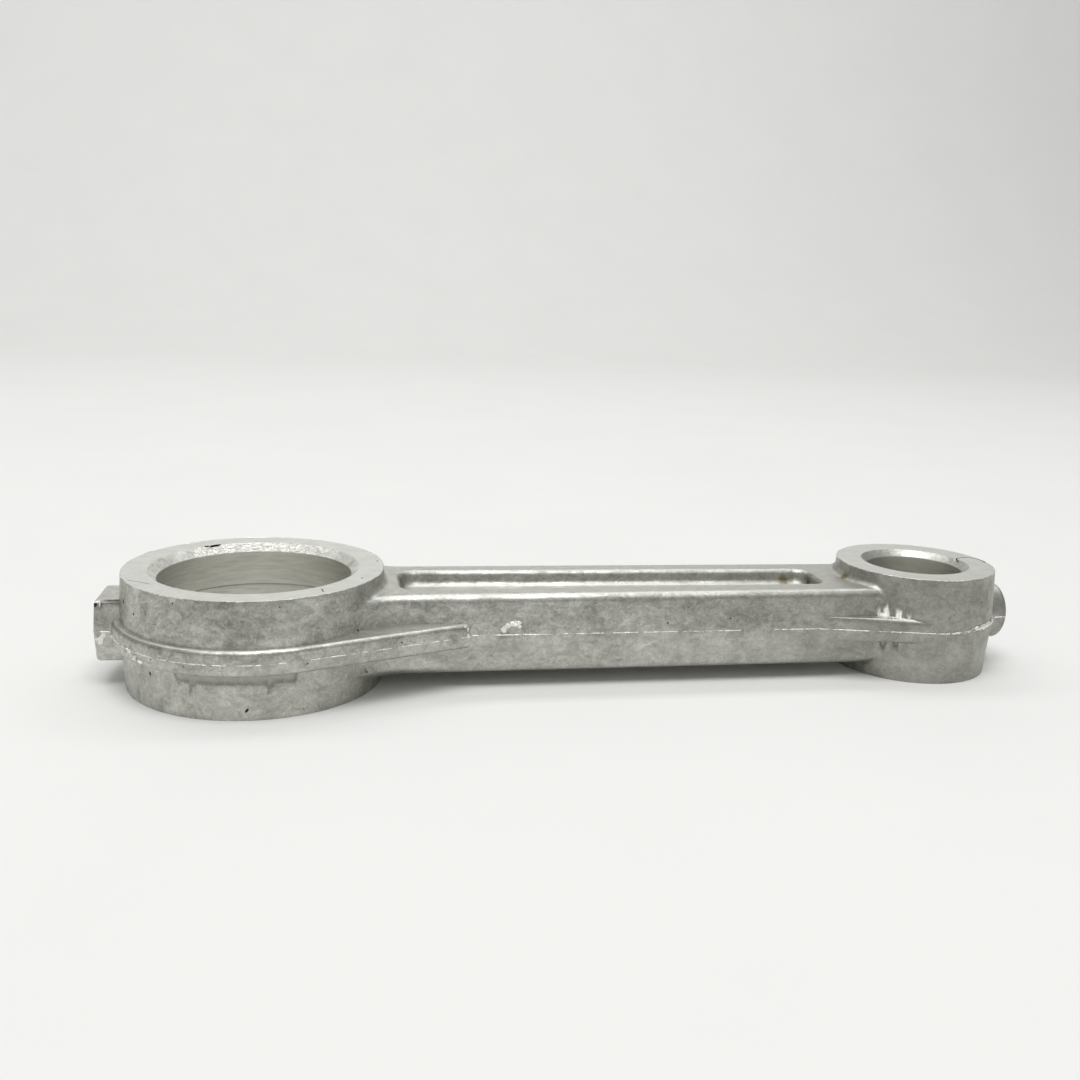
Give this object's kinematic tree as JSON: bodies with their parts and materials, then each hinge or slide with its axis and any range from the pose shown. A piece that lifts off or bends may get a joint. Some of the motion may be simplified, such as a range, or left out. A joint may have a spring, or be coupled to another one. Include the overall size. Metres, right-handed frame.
{
  "type": "connecting rod",
  "caption": "Die-cast connecting rod with an undivided crank-pin end, a wrist-pin end, a shallow recess on each broad face and a rib along the parting line.",
  "frame": {"origin": "middle of the crank-pin bore, on the parting plane halfway between the two machined faces", "axes": "+Z along the axis of both bores, +X along the rod from the crank-pin end to the wrist-pin end, +Y completing the right-handed frame"},
  "size_m": [0.1532, 0.0438, 0.018],
  "materials": {
    "cast_aluminium": "as-cast, with milled faces and bored pin holes"
  },
  "bodies": {
    "root": {"rod_casting": "cast_aluminium"}
  },
  "joints": []
}
